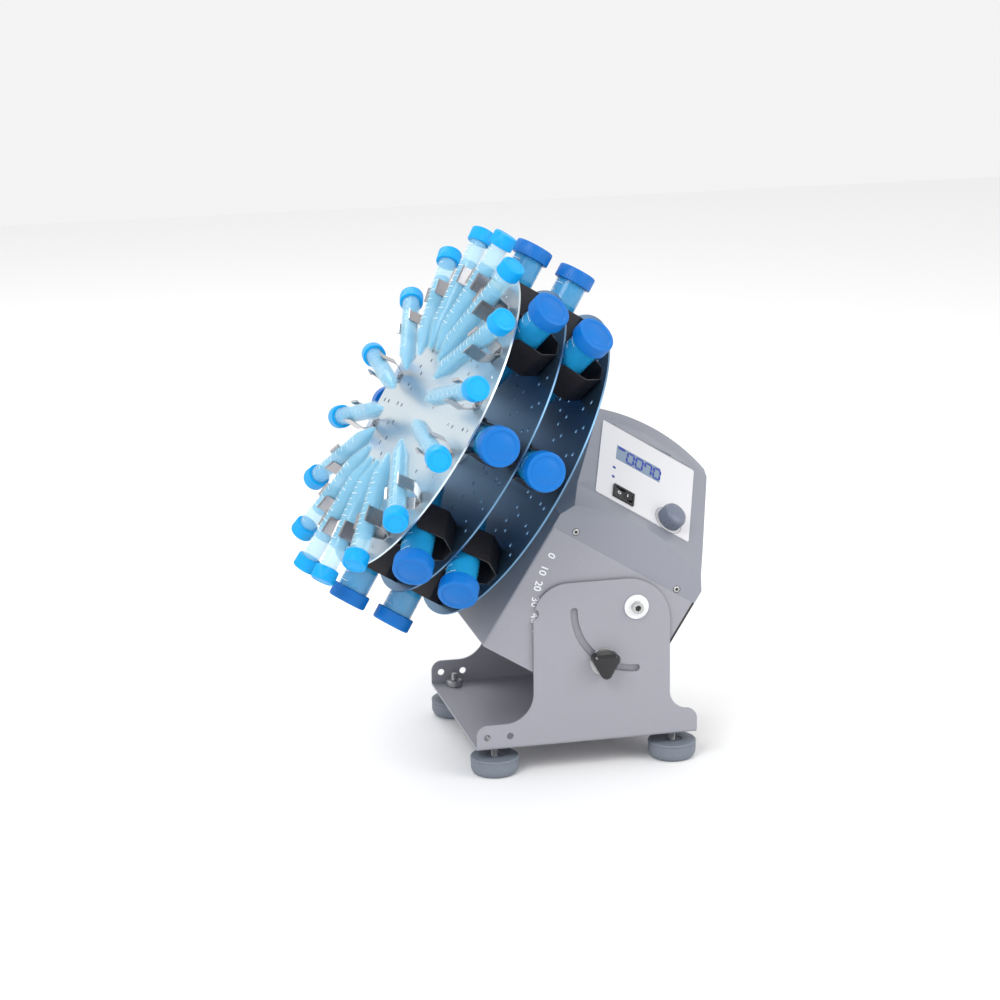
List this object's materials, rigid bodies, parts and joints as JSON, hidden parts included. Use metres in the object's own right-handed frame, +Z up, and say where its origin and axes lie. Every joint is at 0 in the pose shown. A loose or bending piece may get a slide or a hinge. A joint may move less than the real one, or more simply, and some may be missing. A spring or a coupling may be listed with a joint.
{
  "type": "tube rotator",
  "caption": "Bench tube rotator: a tilting head on a U-shaped bracket turns three discs that carry centrifuge tubes in spring clips.",
  "frame": {"origin": "on the surface that the feet stand on, under the middle of the whole machine box", "axes": "+X points to the rear of the machine, away from the discs; -Y is the side that the control panel faces; +Z is up"},
  "size_m": [0.3851, 0.3578, 0.4732],
  "materials": {
    "grey_steel": "satin",
    "dark_steel": "satin",
    "cover_plastic": "satin",
    "black_plastic": "satin",
    "gloss_black": "gloss",
    "white_plastic": "satin",
    "rubber": "matte",
    "zinc_steel": "satin",
    "spring_steel": "polished",
    "black_steel": "gloss",
    "mirror_plate": "polished",
    "blue_plate": "polished",
    "aluminium": "satin",
    "label": "matte",
    "display": "gloss",
    "board": "satin",
    "clear_tube": "gloss",
    "blue_tube": "gloss",
    "light_blue_cap": "satin",
    "blue_cap": "satin"
  },
  "bodies": {
    "base": {"base_bracket": "grey_steel", "foot_pads": "rubber", "foot_studs": "zinc_steel", "pivot_bushes": "white_plastic", "pivot_washers": "white_plastic"},
    "head": {"head_housing": "grey_steel", "rear_panel": "black_steel", "power_jack": "black_plastic", "chassis_plate": "dark_steel", "top_cover": "cover_plastic", "panel_label": "label", "lcd_display": "display", "indicator_leds": "black_plastic", "control_board": "board", "board_standoffs": "black_plastic", "switch_housing": "gloss_black", "speed_encoder": "zinc_steel", "bearing_block": "aluminium", "shaft_bearings": "zinc_steel", "drive_motor": "dark_steel", "motor_gearbox": "zinc_steel", "motor_bracket": "dark_steel", "pivot_screws": "zinc_steel", "pivot_nuts": "zinc_steel", "clamp_washers": "zinc_steel", "clamp_nuts": "zinc_steel"},
    "rotor": {"gearbox_output": "zinc_steel", "shaft_coupling": "aluminium", "drive_shaft": "zinc_steel", "rotor_hub": "aluminium", "plate_spacers": "aluminium", "rear_plate": "blue_plate", "middle_plate": "blue_plate", "front_plate": "mirror_plate", "clips_rear": "black_steel", "clips_middle": "black_steel", "clips_front": "spring_steel", "tubes_rear": "blue_tube", "tubes_middle": "blue_tube", "tubes_front": "clear_tube", "caps_rear": "blue_cap", "caps_middle": "blue_cap", "caps_front": "light_blue_cap"},
    "speed_dial": {"speed_knob": "black_plastic", "encoder_spindle": "zinc_steel"},
    "rocker": {"power_rocker": "gloss_black"},
    "near_clamp": {"clamp_knob_near": "gloss_black", "clamp_stud_near": "zinc_steel"},
    "far_clamp": {"clamp_knob_far": "gloss_black", "clamp_stud_far": "zinc_steel"}
  },
  "joints": [
    {"name": "tilt", "type": "hinge", "parent": "base", "child": "head", "pos_m": [0.0934, 0, 0.1469], "axis": [0, 1, 0], "range_deg": [-32, 58]},
    {"name": "rotor_spin", "type": "hinge", "parent": "head", "child": "rotor", "pos_m": [0.00649, 0, 0.25899], "axis": [-0.848, 0, 0.5299], "continuous": true},
    {"name": "speed_turn", "type": "hinge", "parent": "head", "child": "speed_dial", "pos_m": [0.13341, -0.05801, 0.2115], "axis": [0.4346, -0.5721, 0.6955], "continuous": true},
    {"name": "power_switch", "type": "hinge", "parent": "head", "child": "rocker", "pos_m": [0.09142, -0.05743, 0.23677], "axis": [0.3032, 0.8202, 0.4852], "range_deg": [0, 20]},
    {"name": "near_clamp_turn", "type": "hinge", "parent": "head", "child": "near_clamp", "pos_m": [0.06351, -0.098, 0.09907], "axis": [0, -1, 0], "range_deg": [0, 360]},
    {"name": "far_clamp_turn", "type": "hinge", "parent": "head", "child": "far_clamp", "pos_m": [0.06351, 0.098, 0.09907], "axis": [0, 1, 0], "range_deg": [0, 360]}
  ]
}
